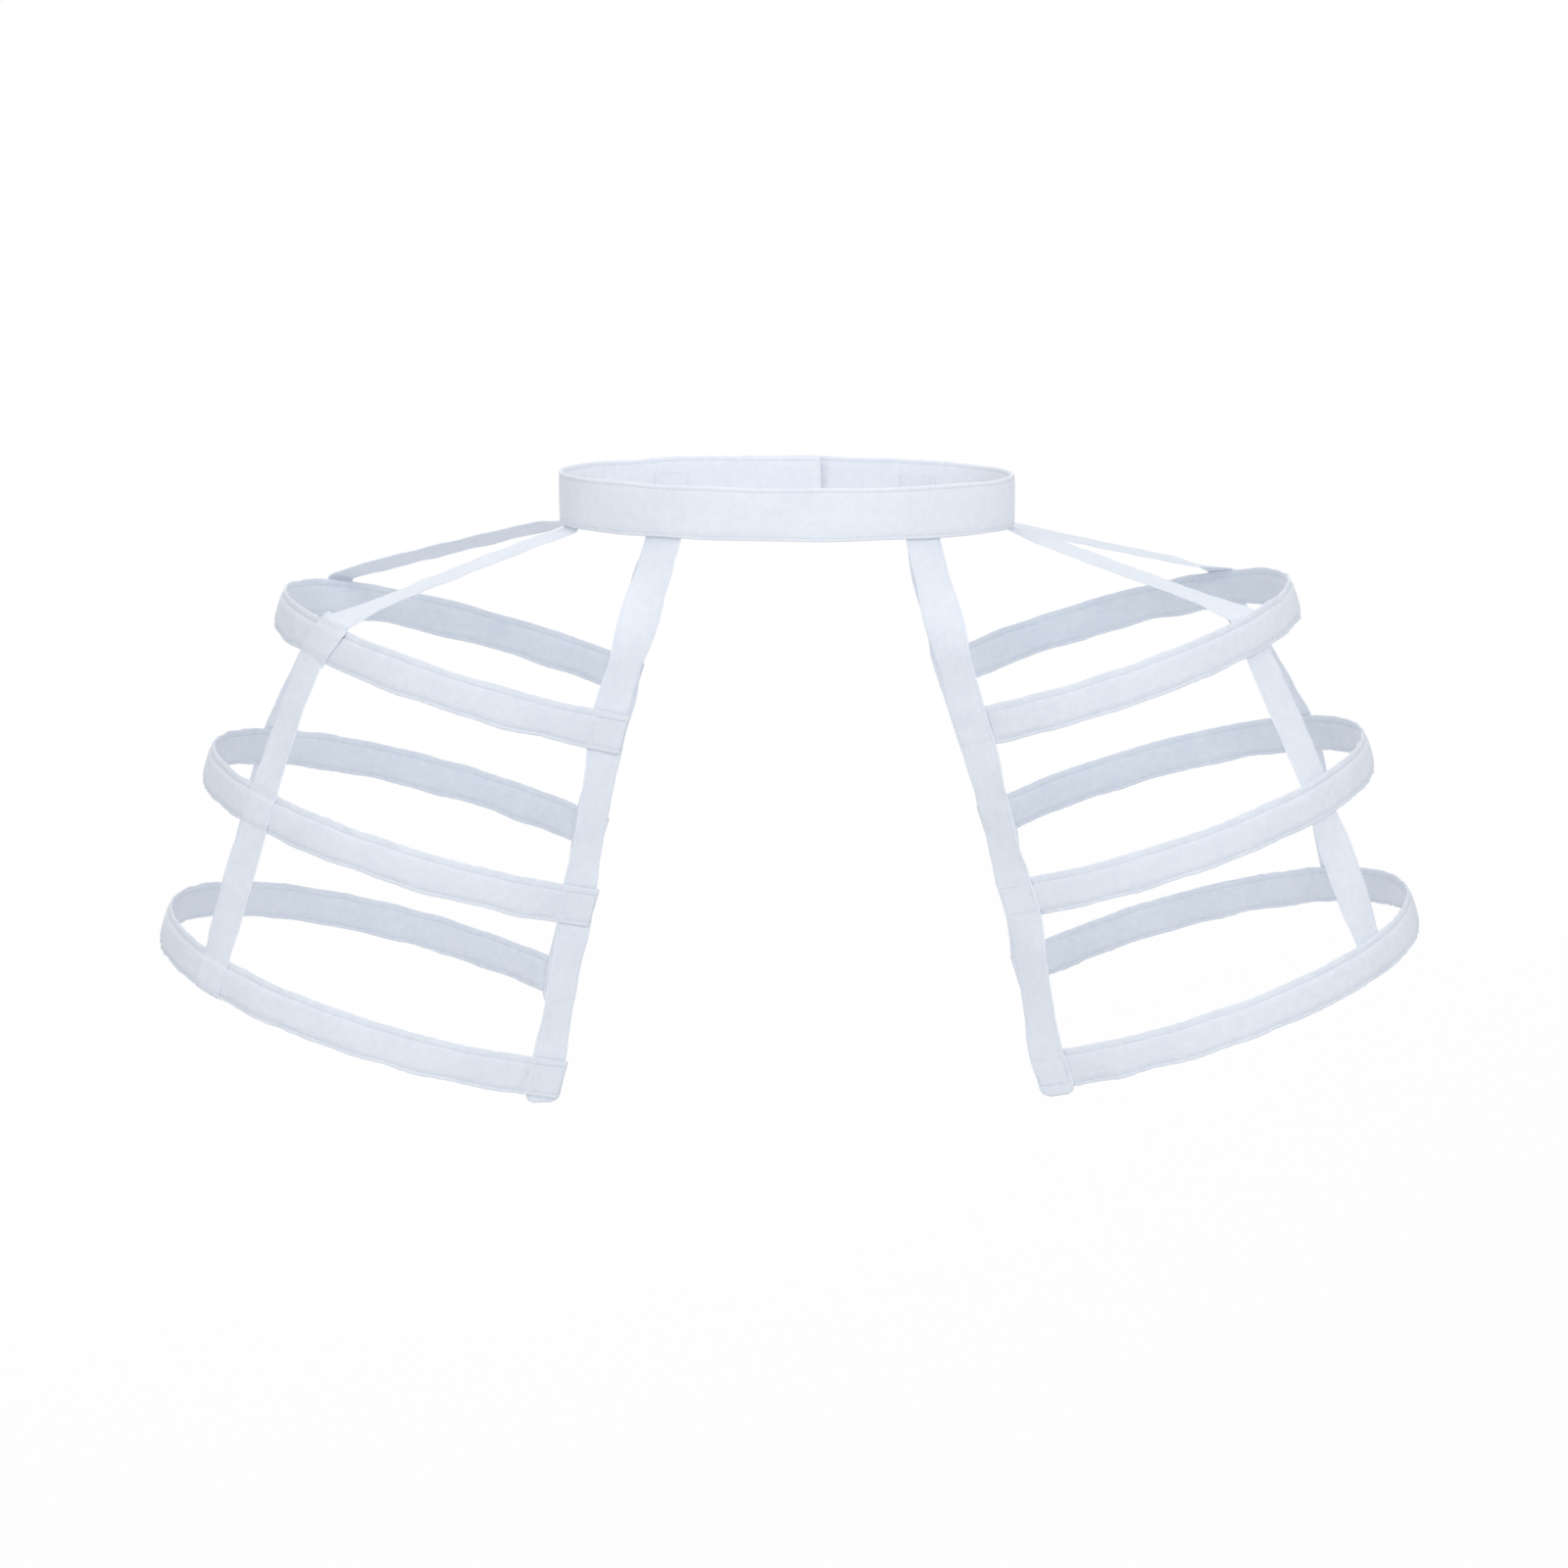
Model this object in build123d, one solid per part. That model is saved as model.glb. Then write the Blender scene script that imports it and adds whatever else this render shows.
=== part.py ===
# Crinoline cage of the side-hoop kind: a waistband that carries a basket of three boned hoops at each hip.
# Millimetres, +Z up, front towards -Y, the wearer's left at +X, origin at the middle of the waistband.

import os
from math import acos, atan2, cos, degrees, radians, sin, sqrt

from build123d import *

# Waistband: an oval ring of folded cloth, measured at the middle of its thickness
waist_half_width = 140.0
waist_half_depth = 98.0
waist_side_radius = 72.0
band_height = 32.0
band_thickness = 3.0
band_edge_radius = 0.7
over_lap = 26.0
under_lap = 24.0
lap_step_gap = 1.0
lap_step_run = 14.0

# Hooks and bars that close the lap at the middle of the back
closure_count = 2
closure_spacing = 15.0
closure_offset = 9.0
hook_sheet = 0.7
hook_mouth = 1.3
hook_plate_length = 11.0
hook_lip_length = 5.5
hook_height = 6.5
bar_sheet = 0.8
bar_width = 2.4
bar_side_gap = 0.7
bar_foot_length = 2.2

# Woven tape of the straps and side tapes
tape_width = 24.0
tape_thickness = 1.2
tape_tuck = 22.0
strap_tail = 4.0
strap_corner_radius = 6.0
edge_margin = 1.2
seam_clearance = 0.15

# Places of the tapes along the waistband, as the direction the band faces there, in degrees from the hip
front_strap_angle = 63.5
side_front_angle = 15.0
side_back_angle = 18.0
back_strap_angle = 63.5

# Places of the side tapes round each hoop, as degrees from its outermost point
side_front_hoop_angle = 45.0
side_back_hoop_angle = 37.0

# Hoops: where the straps carry their ends, the span between those ends and the reach out to the tip
hoop_tilt = 17.3
upper_end_offset = 108.3
upper_end_drop = 127.4
upper_span = 230.0
upper_reach = 216.5
middle_end_offset = 132.8
middle_end_drop = 231.2
middle_span = 242.0
middle_reach = 240.5
lower_end_offset = 152.5
lower_end_drop = 335.7
lower_span = 257.0
lower_reach = 251.5

# Casing section: a bone channel between a sewn flange above and a narrower one below
casing_height = 24.0
casing_ply = 0.8
top_flange = 4.0
bottom_flange = 2.5
channel_end_wall = 3.0
tab_gap = 1.5
lap_reveal = 1.0

# Spring-steel bones and the caps on their ends
bone_width = 12.0
bone_thickness = 1.0
bone_end_room = 2.0
cap_wall = 0.4
cap_length = 9.0
cap_clearance = 0.1
channel_clearance = 0.25

hoops = {
    "upper": (upper_end_offset, upper_end_drop, upper_span, upper_reach),
    "middle": (middle_end_offset, middle_end_drop, middle_span, middle_reach),
    "lower": (lower_end_offset, lower_end_drop, lower_span, lower_reach),
}

flange_thickness = 2 * casing_ply
cap_height = bone_width + 2 * (cap_clearance + cap_wall)
cap_thickness = bone_thickness + 2 * (cap_clearance + cap_wall)
channel_height = cap_height + 2 * channel_clearance
channel_thickness = cap_thickness + 2 * channel_clearance
bulge_thickness = channel_thickness + 2 * casing_ply
channel_middle = (bottom_flange - top_flange) / 2
strap_middle = tab_gap + tape_width / 2
tab_length = tab_gap + tape_width - lap_reveal

# The oval is four tangent arcs, with the front and back arcs flatter than the two at the hips
waist_side_centre = waist_half_width - waist_side_radius
waist_depth_excess = waist_half_depth - waist_side_radius
waist_arc_radius = waist_side_radius + (waist_side_centre**2 / waist_depth_excess + waist_depth_excess) / 2
waist_arc_centre = waist_arc_radius - waist_half_depth
waist_side_arc = degrees(atan2(waist_arc_centre, waist_side_centre))


def arc_sweep(section, start, turn):
    # Revolve a section, drawn as radius and height, through a turn that starts at an angle
    return Rot(0, 0, start) * revolve(Plane.XZ * section, Axis.Z, revolution_arc=turn)


class Hoop:
    # The circle of one hoop on the left side, in a plane that rises outwards from the straps
    def __init__(self, end_offset, end_drop, span, reach):
        tilt = radians(hoop_tilt)
        outward = Vector(cos(tilt), 0, sin(tilt))
        self.radius = (reach**2 + (span / 2) ** 2) / (2 * reach)
        centre = Vector(end_offset, 0, -end_drop) + outward * (reach - self.radius)
        self.plane = Plane(origin=centre, x_dir=outward, z_dir=Vector(-sin(tilt), 0, cos(tilt)))
        strap_angle = degrees(acos((self.radius - reach) / self.radius))
        self.half_arc = strap_angle - degrees(strap_middle / self.radius)

    def turn(self, length):
        return degrees(length / self.radius)

    def place(self, solid):
        return self.plane.location * solid

    def point(self, angle, outset, along, height):
        # A point beside the hoop: outset from its circle and along the tangent at an angle
        turned = Vector(self.radius + outset, along, height).rotate(Axis.Z, angle)
        return self.plane.from_local_coords(turned)

    def tangent(self, angle):
        return self.point(angle, 0, 1, 0) - self.point(angle, 0, 0, 0)


def waist_arc(angle):
    # Centre and radius of the arc of the oval that faces a direction, given from -180 to 180 degrees
    if abs(angle) <= waist_side_arc:
        return Vector(waist_side_centre, 0), waist_side_radius
    if abs(angle) >= 180 - waist_side_arc:
        return Vector(-waist_side_centre, 0), waist_side_radius
    return Vector(0, -waist_arc_centre if angle > 0 else waist_arc_centre), waist_arc_radius


def waist_point(angle, inset, height):
    # A point inside the band's middle line, and the band's direction there
    centre, radius = waist_arc(angle)
    outward = Vector(1, 0).rotate(Axis.Z, angle)
    return centre + outward * (radius - inset) + Vector(0, 0, height), outward.rotate(Axis.Z, 90)


def oval_back(inset, x):
    # How far back a line set in from the oval lies at a place across the back
    return sqrt((waist_arc_radius - inset) ** 2 - x**2) - waist_arc_centre


# Room between the two ends of the band for the hooks, with what the band curves across them
lap_curve = waist_half_depth - oval_back(0, closure_offset)
lap_gap = 2 * hook_sheet + hook_mouth + 2 * seam_clearance + lap_curve


def band_section(radius):
    return Pos(radius, 0) * RectangleRounded(band_thickness, band_height, band_edge_radius)


def band_arc(centre, radius, start, turn):
    return Pos(centre) * arc_sweep(band_section(radius), start, turn)


def make_waistband():
    # The upper end crosses the middle of the back, and the other end steps in and passes under it
    under_radius = waist_arc_radius - band_thickness - lap_gap
    step_end = -over_lap - lap_step_gap
    upper_end = degrees(acos(-over_lap / waist_arc_radius))
    step_first = degrees(acos((step_end - lap_step_run) / waist_arc_radius))
    step_last = degrees(acos(step_end / under_radius))
    under_end = degrees(acos(under_lap / under_radius))
    side_arc = waist_side_arc
    back = Vector(0, -waist_arc_centre)
    band = band_arc(back, waist_arc_radius, side_arc, upper_end - side_arc)
    band += band_arc(back, waist_arc_radius, step_first, 180 - side_arc - step_first)
    band += band_arc(Vector(0, waist_arc_centre), waist_arc_radius, side_arc - 180, 180 - 2 * side_arc)
    for centre, start in ((waist_side_centre, -side_arc), (-waist_side_centre, 180 - side_arc)):
        band += band_arc(Vector(centre, 0), waist_side_radius, start, 2 * side_arc)
    band += band_arc(back, under_radius, under_end, step_last - under_end)
    ends = [(waist_arc_radius, step_first), (under_radius, step_last)]
    sections = [Pos(back) * Rot(0, 0, angle) * (Plane.XZ * band_section(radius)) for radius, angle in ends]
    return band + loft(sections, ruled=True)


def closure_heights():
    middle = (closure_count - 1) / 2
    return [closure_spacing * (number - middle) for number in range(closure_count)]


def make_hooks():
    # Each hook is a sewn plate folded back on itself, open towards the side that pulls it shut
    plate_back = oval_back(0, closure_offset) - band_thickness / 2 - seam_clearance
    lip_front = plate_back - 2 * hook_sheet - hook_mouth
    bend = Pos(-closure_offset, 0)
    outline = bend * Polygon(
        (0, plate_back),
        (hook_plate_length, plate_back),
        (hook_plate_length, plate_back - hook_sheet),
        (hook_sheet, plate_back - hook_sheet),
        (hook_sheet, lip_front + hook_sheet),
        (hook_lip_length, lip_front + hook_sheet),
        (hook_lip_length, lip_front),
        (0, lip_front),
        align=None,
    )
    hook = extrude(outline, hook_height / 2, both=True)
    return Compound(children=[Pos(0, 0, height) * hook for height in closure_heights()])


def make_bars():
    # Each bar bridges the lip of a hook and stands on two feet sewn to the under end
    plate_back = oval_back(0, closure_offset) - band_thickness / 2 - seam_clearance
    bar_back = plate_back - hook_sheet - (hook_mouth - bar_sheet) / 2
    start = -closure_offset + 2 * hook_sheet
    face = oval_back(band_thickness / 2 + lap_gap, start + bar_width) + seam_clearance
    leg_inside = hook_height / 2 + bar_side_gap
    leg_outside = leg_inside + bar_sheet
    foot_end = leg_outside + bar_foot_length
    half = [
        (bar_back, leg_outside),
        (face + bar_sheet, leg_outside),
        (face + bar_sheet, foot_end),
        (face, foot_end),
        (face, leg_inside),
        (bar_back - bar_sheet, leg_inside),
    ]
    outline = Polygon(*half, *[(y, -z) for y, z in reversed(half)], align=None)
    bar = extrude(Plane.YZ * outline, bar_width)
    return Compound(children=[Pos(start, 0, height) * bar for height in closure_heights()])


def casing_section(radius):
    # Outline of a casing: thin flanges above and below the bulge over the bone
    flange = flange_thickness / 2
    bulge = bulge_thickness / 2
    top = casing_height / 2
    half = [
        (flange, top),
        (flange, top - top_flange),
        (bulge, channel_middle + channel_height / 2),
        (bulge, channel_middle - channel_height / 2),
        (flange, bottom_flange - top),
        (flange, -top),
    ]
    outer = [(radius + outset, height) for outset, height in half]
    inner = [(radius - outset, height) for outset, height in reversed(half)]
    return Polygon(*outer, *inner, align=None)


def flat_section(radius, thickness, height):
    return Pos(radius, channel_middle) * Rectangle(thickness, height)


def make_casing(hoop):
    # A folded casing round the hoop, with a flat tab at each end that is sewn to a strap
    arc = hoop.half_arc
    casing = arc_sweep(casing_section(hoop.radius), -arc, 2 * arc)
    for side, alignment in ((1, Align.MIN), (-1, Align.MAX)):
        placing = (Align.CENTER, alignment, Align.CENTER)
        tab = Box(flange_thickness, tab_length, casing_height, align=placing)
        casing += Rot(0, 0, side * arc) * Pos(hoop.radius, 0, 0) * tab
    channel_arc = arc - hoop.turn(channel_end_wall)
    channel = flat_section(hoop.radius, channel_thickness, channel_height)
    return hoop.place(casing - arc_sweep(channel, -channel_arc, 2 * channel_arc))


def bone_arc(hoop):
    return hoop.half_arc - hoop.turn(channel_end_wall + bone_end_room)


def make_bone(hoop):
    arc = bone_arc(hoop)
    section = flat_section(hoop.radius, bone_thickness, bone_width)
    return hoop.place(arc_sweep(section, -arc, 2 * arc))


def make_bone_tips(hoop):
    # A cap slipped over each end of the bone
    end = bone_arc(hoop) + hoop.turn(cap_clearance + cap_wall)
    pocket_end = bone_arc(hoop) + hoop.turn(cap_clearance)
    start = end - hoop.turn(cap_length)
    pocket_thickness = bone_thickness + 2 * cap_clearance
    pocket_height = bone_width + 2 * cap_clearance
    cap = arc_sweep(flat_section(hoop.radius, cap_thickness, cap_height), start, end - start)
    pocket = flat_section(hoop.radius, pocket_thickness, pocket_height)
    cap -= arc_sweep(pocket, start, pocket_end - start)
    return Compound(children=[hoop.place(cap), hoop.place(mirror(cap, about=Plane.XZ))])


def make_tape(stations):
    # A flat tape through stations on its middle line, each a point and the direction of its width there
    sections = []
    runs = [(end[0] - start[0]).normalized() for start, end in zip(stations, stations[1:])]
    for (middle, across), before, after in zip(stations, runs[:1] + runs, runs + runs[-1:]):
        bisector = (before + after).normalized()
        along = bisector - across * bisector.dot(across)
        through = along.cross(across).normalized()
        half_width = across * (tape_width / 2)
        half_through = through * (tape_thickness / 2 / after.dot(bisector))
        corners = [
            middle + half_width + half_through,
            middle - half_width + half_through,
            middle - half_width - half_through,
            middle + half_width - half_through,
        ]
        sections.append(Wire.make_polygon(corners, close=True))
    return Solid.make_loft(sections, True)


def waist_stations(angle):
    # The tuck inside the band and the place where the tape comes out below it
    sag = tape_width**2 / (8 * waist_arc(angle)[1])
    inset = band_thickness / 2 + sag + seam_clearance + tape_thickness / 2
    bottom = -band_height / 2
    return [waist_point(angle, inset, bottom + tape_tuck), waist_point(angle, inset, bottom - edge_margin)]


def hoop_stations(hoop, angle, outset, along, foot):
    # Where a tape passes the upper and the lower edge of a hoop, or ends below it
    top = casing_height / 2 + edge_margin
    across = hoop.tangent(angle)
    return [(hoop.point(angle, outset, along, height), across) for height in (top, -foot)]


def make_side_tape(waist_angle, hoop_angle):
    # A side tape runs down the outside of all three hoops and ends at the lower edge of the last
    outset = bulge_thickness / 2 + seam_clearance + tape_thickness / 2
    stations = waist_stations(waist_angle)
    for name, sizes in hoops.items():
        foot = casing_height / 2 + (0 if name == "lower" else edge_margin)
        stations += hoop_stations(Hoop(*sizes), hoop_angle, outset, 0, foot)
    return make_tape(stations)


def make_strap(waist_angle, end, layer):
    # A strap carries the tabs at one end of the hoops, over them (layer 1) or under them (layer -1)
    outset = layer * (flange_thickness / 2 + seam_clearance + tape_thickness / 2)
    stations = waist_stations(waist_angle)
    for name, sizes in hoops.items():
        hoop = Hoop(*sizes)
        foot = casing_height / 2 + (strap_tail if name == "lower" else edge_margin)
        stations += hoop_stations(hoop, end * hoop.half_arc, outset, end * strap_middle, foot)
    strap = make_tape(stations)
    middle, across = stations[-1]
    corners = [middle + across * (side * tape_width / 2) for side in (1, -1)]
    ends = [strap.edges().sort_by(lambda edge: (edge.center() - corner).length)[0] for corner in corners]
    return fillet(ends, strap_corner_radius)


def make_side(side):
    # One basket, drawn on the left, where the front strap lies over the tabs and not under them
    front_layer = 1 if side == "left" else -1
    pieces = {
        f"front_strap_{side}": make_strap(-front_strap_angle, -1, front_layer),
        f"side_front_tape_{side}": make_side_tape(-side_front_angle, -side_front_hoop_angle),
        f"side_back_tape_{side}": make_side_tape(side_back_angle, side_back_hoop_angle),
        f"back_strap_{side}": make_strap(back_strap_angle, 1, -1),
    }
    for name, sizes in hoops.items():
        hoop = Hoop(*sizes)
        pieces[f"{name}_casing_{side}"] = make_casing(hoop)
        pieces[f"{name}_bone_{side}"] = make_bone(hoop)
        pieces[f"{name}_bone_tips_{side}"] = make_bone_tips(hoop)
    return pieces


nodes = {"waistband": make_waistband(), "waist_hooks": make_hooks(), "waist_bars": make_bars()}
nodes.update(make_side("left"))
for name, piece in make_side("right").items():
    nodes[name] = mirror(piece, about=Plane.YZ)

os.makedirs("parts", exist_ok=True)
for name, piece in nodes.items():
    export_step(piece, f"parts/{name}.step")
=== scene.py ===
# Crinoline cage of the side-hoop kind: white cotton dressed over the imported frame.
# Metres, +Z up, front at -Y, the wearer's left at +X.
import math

import bpy
import numpy as np
from mathutils import Matrix, Vector


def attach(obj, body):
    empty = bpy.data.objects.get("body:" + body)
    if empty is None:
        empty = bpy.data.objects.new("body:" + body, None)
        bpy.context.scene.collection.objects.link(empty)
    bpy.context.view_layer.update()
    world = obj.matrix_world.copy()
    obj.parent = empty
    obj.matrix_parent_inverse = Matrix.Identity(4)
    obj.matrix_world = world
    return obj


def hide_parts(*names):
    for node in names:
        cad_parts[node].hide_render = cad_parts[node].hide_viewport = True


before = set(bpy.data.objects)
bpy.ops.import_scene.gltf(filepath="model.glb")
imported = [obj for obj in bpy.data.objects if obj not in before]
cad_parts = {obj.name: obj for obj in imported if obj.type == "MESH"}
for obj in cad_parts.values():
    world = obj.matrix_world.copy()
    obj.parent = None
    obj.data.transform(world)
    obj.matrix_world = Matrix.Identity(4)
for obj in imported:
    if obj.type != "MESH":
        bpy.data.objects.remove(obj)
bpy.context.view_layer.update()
mm = 0.001
print("frame loaded:", len(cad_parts), "nodes")


# Small helpers for lines, ripples and cloth

def unit(vectors):
    return vectors / np.linalg.norm(vectors, axis=-1, keepdims=True)


def eased(low, high, values):
    share = np.clip((values - low) / (high - low), 0, 1)
    return share * share * (3 - 2 * share)


waves = {"count": 6, "lengths": (0.6, 1.8), "heights": (0.4, 1.0)}


def ripple(along, seed, wave, height):
    # seeded waves of uneven length, as sewn cloth has along a seam
    rng = np.random.default_rng(seed)
    total = np.zeros_like(along)
    for _ in range(waves["count"]):
        length = wave * rng.uniform(*waves["lengths"])
        tall = rng.uniform(*waves["heights"])
        total += tall * np.sin(2 * math.pi * along / length + rng.uniform(0, 2 * math.pi))
    return height * total / math.sqrt(waves["count"] / 2)


def runLength(points):
    steps = np.linalg.norm(np.diff(points, axis=0), axis=1)
    return np.concatenate([[0.0], np.cumsum(steps)])


def atPlaces(wanted, walked, values):
    # values at some distances along a line, between those at its points
    return np.stack([np.interp(wanted, walked, column) for column in values.T], 1)


def evenly(points, step, *others):
    # the same line with points at an even spacing, and what goes with each point
    walked = runLength(points)
    count = max(3, round(walked[-1] / step) + 1)
    wanted = np.linspace(0, walked[-1], count)
    spread = [atPlaces(wanted, walked, values) for values in (points, *others)]
    return spread if others else spread[0]


def softened(values, reach):
    # round the corners of a line, with its two ends kept in place
    pad = 3 * reach
    weights = np.exp(-0.5 * (np.arange(-pad, pad + 1) / reach) ** 2)
    weights /= weights.sum()
    head = 2 * values[0] - values[pad:0:-1]
    tail = 2 * values[-1] - values[-2:-pad - 2:-1]
    padded = np.concatenate([head, values, tail])
    return np.stack([np.convolve(column, weights, "valid") for column in padded.T], 1)


def stripFaces(stations, ring, first=0):
    rows = first + np.arange(stations - 1)[:, None] * ring
    here = rows + np.arange(ring)[None, :]
    beside = rows + (np.arange(ring)[None, :] + 1) % ring
    walls = np.stack([here, here + ring, beside + ring, beside], -1).reshape(-1, 4)
    half = np.arange(ring // 2 - 1)
    start = first + np.stack([half, half + 1, ring - 2 - half, ring - 1 - half], -1)
    end = start[:, ::-1] + (stations - 1) * ring
    return np.concatenate([walls, start, end])


def meshPiece(name, points, faces, cloth, material, mirrored):
    if mirrored:
        points = points * (-1, 1, 1)
        faces = faces[:, ::-1]
    mesh = bpy.data.meshes.new(name)
    mesh.from_pydata(points.tolist(), [], faces.tolist())
    weave = mesh.attributes.new("weave", "FLOAT_VECTOR", "POINT")
    weave.data.foreach_set("vector", cloth.astype(np.float32).ravel())
    mesh.shade_smooth()
    mesh.materials.append(material)
    piece = bpy.data.objects.new(name, mesh)
    bpy.context.scene.collection.objects.link(piece)
    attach(piece, "root")
    return piece


def clothPiece(name, rings, weave, material, mirrored, hollow=None):
    # rings hold the outer face from one edge to the other, then the inner face back again
    points = rings.reshape(-1, 3)
    faces = stripFaces(*rings.shape[:2])
    cloth = weave.reshape(-1, 3)
    if hollow is not None:
        faces = np.concatenate([faces, stripFaces(*hollow.shape[:2], len(points))[:, ::-1]])
        points = np.concatenate([points, hollow.reshape(-1, 3)])
        cloth = np.concatenate([cloth, np.zeros((len(points) - len(cloth), 3))])
    return meshPiece(name, points, faces, cloth, material, mirrored)


# Materials

def addNode(tree, kind, settings=None, **sockets):
    # a socket is given by its name, or as i0, i1 and so on by its place
    node = tree.nodes.new(kind)
    for name, value in (settings or {}).items():
        setattr(node, name, value)
    for name, value in sockets.items():
        socket = node.inputs[int(name[1:])] if name[0] == "i" and name[1:].isdigit() else node.inputs[name]
        if isinstance(value, bpy.types.NodeSocket):
            tree.links.new(value, socket)
        else:
            socket.default_value = value
    return node


def sums(tree, operation, first, second=0.0):
    return addNode(tree, "ShaderNodeMath", {"operation": operation}, i0=first, i1=second).outputs[0]


def noise(tree, place, scale, detail):
    return addNode(tree, "ShaderNodeTexNoise", Vector=place, Scale=scale, Detail=detail).outputs[0]


def ranged(tree, value, before, after):
    # a value moved from one range to another
    node = addNode(tree, "ShaderNodeMapRange", Value=value)
    for name, number in zip(("From Min", "From Max", "To Min", "To Max"), (*before, *after)):
        node.inputs[name].default_value = number
    return node.outputs[0]


def between(tree, factor, light, dark):
    # a colour between a light and a dark one
    ends = {"i6": (*light, 1), "i7": (*dark, 1)}
    return addNode(tree, "ShaderNodeMix", {"data_type": "RGBA"}, Factor=factor, **ends).outputs[2]


def bumped(tree, height, strength, depth, shader):
    bump = addNode(tree, "ShaderNodeBump", Height=height, Strength=strength, Distance=depth)
    tree.links.new(bump.outputs[0], shader.inputs["Normal"])


def newMaterial(name):
    material = bpy.data.materials.new(name)
    material.use_nodes = True
    tree = material.node_tree
    tree.nodes.clear()
    output = tree.nodes.new("ShaderNodeOutputMaterial")
    shader = tree.nodes.new("ShaderNodeBsdfPrincipled")
    tree.links.new(shader.outputs[0], output.inputs[0])
    return material, tree, shader


def weaveParts(tree):
    # place across the strip, place along it, and how much darker it is: painted shade in the stitch gutters
    # and on the casings' inner faces, and a tape's selvedge line
    cloth = addNode(tree, "ShaderNodeAttribute", {"attribute_name": "weave"}).outputs["Vector"]
    return cloth, addNode(tree, "ShaderNodeSeparateXYZ", Vector=cloth).outputs


cotton = {
    "thread": 0.7 * mm,
    "chevron": 4.0 * mm,
    "threadRelief": 0.3,
    "bumpDepth": 0.16 * mm,
    "bumpStrength": 0.55,
    # scale of a slub across and along its thread, then of the tone's patches and its mottle
    "slubScale": (2600.0, 160.0),
    "slubDetail": 2.0,
    "patchScale": 34.0,
    "patchDetail": 4.0,
    "mottleScale": 210.0,
    "mottleDetail": 3.0,
    # how much slubs, patches and mottle darken the cloth, and how strongly the weave's third part does:
    # painted shade in gutters and on inner faces, and a tape's selvedge
    "slubTone": 0.22,
    "patchTone": 0.42,
    "mottleTone": 0.5,
    "shadeAndSelvedgeTone": 0.26,
    "toneRange": (0.55, 0.83),
    "toneDepth": 0.36,
    "roughness": (0.82, 0.98),
    "sheen": 0.18,
    "sheenRoughness": 0.5,
    "specular": 0.2,
    # light and dark colour
    "band": ((0.85, 0.885, 0.955), (0.70, 0.755, 0.86)),
    "casing": ((0.80, 0.845, 0.92), (0.63, 0.69, 0.79)),
    "tape": ((0.83, 0.875, 0.95), (0.67, 0.735, 0.84)),
}


def cottonMaterial(name, light, dark, twill=False):
    # bluish white cotton with threads that follow the strip, slubs, faint patches, a tape's darker selvedge,
    # and painted shade in the stitch gutters and on the casings' inner faces
    material, tree, shader = newMaterial(name)
    cloth, parts = weaveParts(tree)
    turns = 2 * math.pi / cotton["thread"]
    if twill:
        zigzag = sums(tree, "PINGPONG", parts[0], cotton["chevron"])
        slant = sums(tree, "ADD", parts[1], zigzag)
        threads = sums(tree, "SINE", sums(tree, "MULTIPLY", slant, turns))
    else:
        warp = sums(tree, "SINE", sums(tree, "MULTIPLY", parts[0], turns))
        weft = sums(tree, "SINE", sums(tree, "MULTIPLY", parts[1], turns))
        threads = sums(tree, "MULTIPLY", warp, weft)
    fine, drawn = cotton["slubScale"]
    slubs = []
    for stretch in ((fine, drawn, 0.0), (drawn, fine, 0.0)):
        thin = addNode(tree, "ShaderNodeVectorMath", {"operation": "MULTIPLY"}, i0=cloth, i1=stretch)
        slubs.append(noise(tree, thin.outputs[0], 1.0, cotton["slubDetail"]))
    slub = sums(tree, "ADD", *slubs)
    place = addNode(tree, "ShaderNodeTexCoord").outputs["Object"]
    patch = noise(tree, place, cotton["patchScale"], cotton["patchDetail"])
    mottle = noise(tree, place, cotton["mottleScale"], cotton["mottleDetail"])
    tone = sums(tree, "MULTIPLY", slub, cotton["slubTone"])
    tone = sums(tree, "ADD", tone, sums(tree, "MULTIPLY", patch, cotton["patchTone"]))
    tone = sums(tree, "ADD", tone, sums(tree, "MULTIPLY", mottle, cotton["mottleTone"]))
    shade = ranged(tree, tone, cotton["toneRange"], (0.0, cotton["toneDepth"]))
    # painted shade of the stitch gutters and the casings' inner faces, and a tape's selvedge, darken the
    # colour
    shade = sums(tree, "ADD", shade, sums(tree, "MULTIPLY", parts[2], cotton["shadeAndSelvedgeTone"]))
    tree.links.new(between(tree, shade, light, dark), shader.inputs["Base Color"])
    rough = ranged(tree, slub, (0.0, 2.0), cotton["roughness"])  # slub is two noises added
    tree.links.new(rough, shader.inputs["Roughness"])
    height = sums(tree, "ADD", sums(tree, "MULTIPLY", threads, cotton["threadRelief"]), slub)
    bumped(tree, height, cotton["bumpStrength"], cotton["bumpDepth"], shader)
    shader.inputs["Sheen Weight"].default_value = cotton["sheen"]
    shader.inputs["Sheen Roughness"].default_value = cotton["sheenRoughness"]
    shader.inputs["Specular IOR Level"].default_value = cotton["specular"]
    return material


sewing = {
    "light": (0.86, 0.89, 0.95),
    "dark": (0.60, 0.66, 0.76),
    "plies": 2.0,
    "twist": 9000.0,
    "twistTone": 0.3,
    "bumpStrength": 0.5,
    "bumpDepth": 0.05 * mm,
    "roughness": 0.6,
    "sheen": 0.1,
}


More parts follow.
